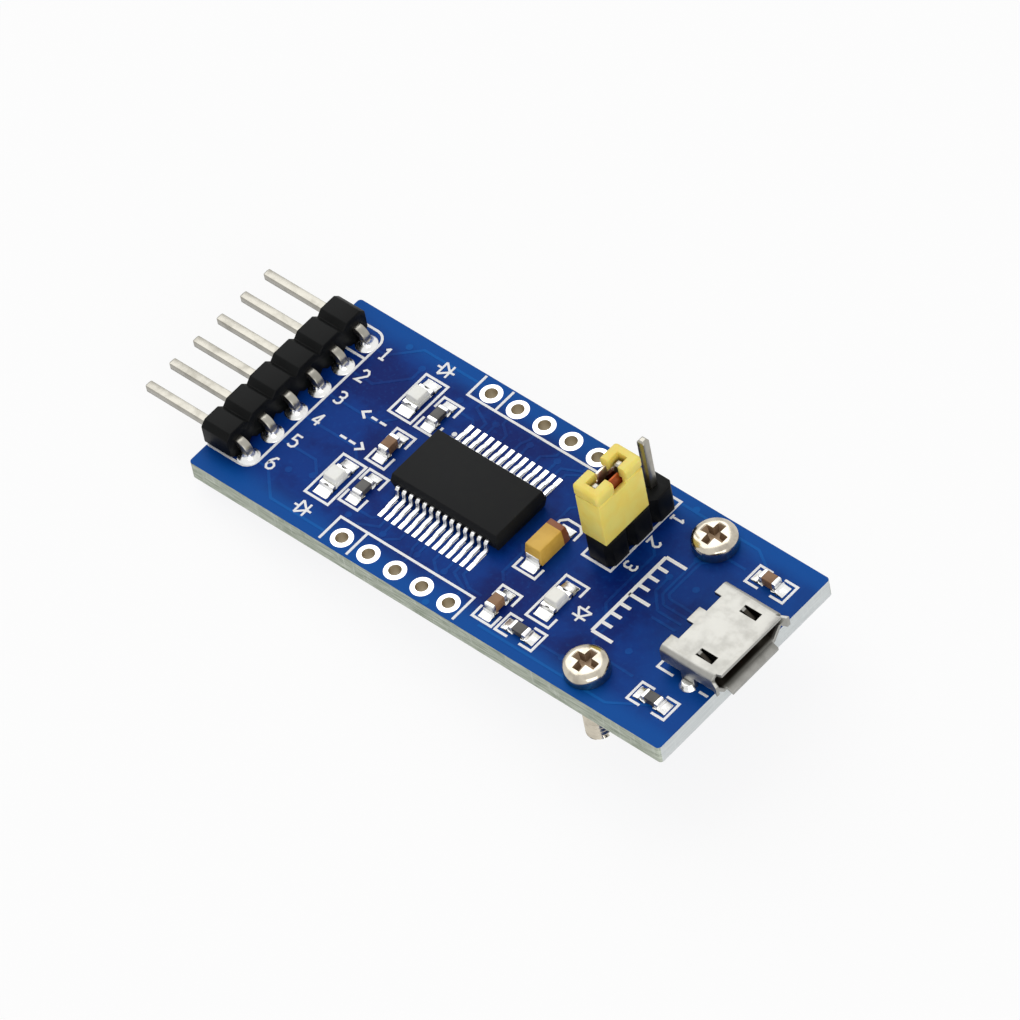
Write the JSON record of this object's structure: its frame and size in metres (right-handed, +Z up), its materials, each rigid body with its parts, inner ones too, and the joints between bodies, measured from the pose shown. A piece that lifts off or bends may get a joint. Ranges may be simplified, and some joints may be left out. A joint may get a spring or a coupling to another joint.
{
  "type": "usb to serial adapter module",
  "caption": "Narrow blue circuit board with a right-angled pin header at one end, a flat USB socket at the other, a serial chip, and a jumper on an upright header.",
  "frame": {"origin": "midway between the two mounting screws, on the underside of the board", "axes": "+X along the board towards the USB socket, +Y towards the side that carries the jumper, +Z up out of the board's component side"},
  "size_m": [0.052, 0.0184, 0.0147],
  "materials": {
    "board": "glass-fibre board under a blue solder mask, white print on top",
    "header_plastic": "black moulded nylon, satin",
    "chip_plastic": "black moulded epoxy with a fine matt grain",
    "jumper_plastic": "yellow moulded plastic, soft sheen",
    "tantalum_plastic": "ochre moulded epoxy with a darker polarity band",
    "resistor_ceramic": "dark glazed ceramic",
    "capacitor_ceramic": "brown sintered ceramic",
    "led_base": "white laminate",
    "led_lens": "clear epoxy",
    "solder": "bright solder",
    "tinned_leads": "matt tin plate",
    "pin_metal": "tin plate over brass",
    "bronze": "bare phosphor bronze",
    "shell_steel": "nickel-plated sheet, softly polished",
    "screw_steel": "nickel plate"
  },
  "bodies": {
    "module": {"circuit_board": "board", "header_housing": "header_plastic", "header_solder": "solder", "select_housing": "header_plastic", "select_solder": "solder", "serial_chip": "chip_plastic", "chip_leads": "tinned_leads", "chip_pads": "solder", "tantalum_body": "tantalum_plastic", "tantalum_terminals": "tinned_leads", "solder_fillets": "solder", "mounting_screw_1": "screw_steel", "mounting_screw_2": "screw_steel", "usb_shell": "shell_steel", "usb_insulator": "header_plastic", "usb_contacts": "bronze", "usb_solder": "solder", "header_pin_1": "pin_metal", "header_pin_2": "pin_metal", "header_pin_3": "pin_metal", "header_pin_4": "pin_metal", "header_pin_5": "pin_metal", "header_pin_6": "pin_metal", "select_pin_1": "pin_metal", "select_pin_2": "pin_metal", "select_pin_3": "pin_metal", "transmit_led_base": "led_base", "transmit_led_lens": "led_lens", "transmit_led_terminals": "solder", "receive_led_base": "led_base", "receive_led_lens": "led_lens", "receive_led_terminals": "solder", "power_led_base": "led_base", "power_led_lens": "led_lens", "power_led_terminals": "solder", "transmit_resistor_body": "resistor_ceramic", "transmit_resistor_terminals": "solder", "receive_resistor_body": "resistor_ceramic", "receive_resistor_terminals": "solder", "power_resistor_body": "resistor_ceramic", "power_resistor_terminals": "solder", "socket_resistor_body": "resistor_ceramic", "socket_resistor_terminals": "solder", "rear_capacitor_body": "capacitor_ceramic", "rear_capacitor_terminals": "solder", "side_capacitor_body": "capacitor_ceramic", "side_capacitor_terminals": "solder", "socket_capacitor_body": "capacitor_ceramic", "socket_capacitor_terminals": "solder"},
    "jumper": {"jumper_cap": "jumper_plastic", "jumper_clip": "bronze"}
  },
  "joints": [
    {"name": "jumper_pull", "type": "slide", "parent": "module", "child": "jumper", "axis": [0, 0, 1], "range_m": [0, 0.0055]}
  ]
}
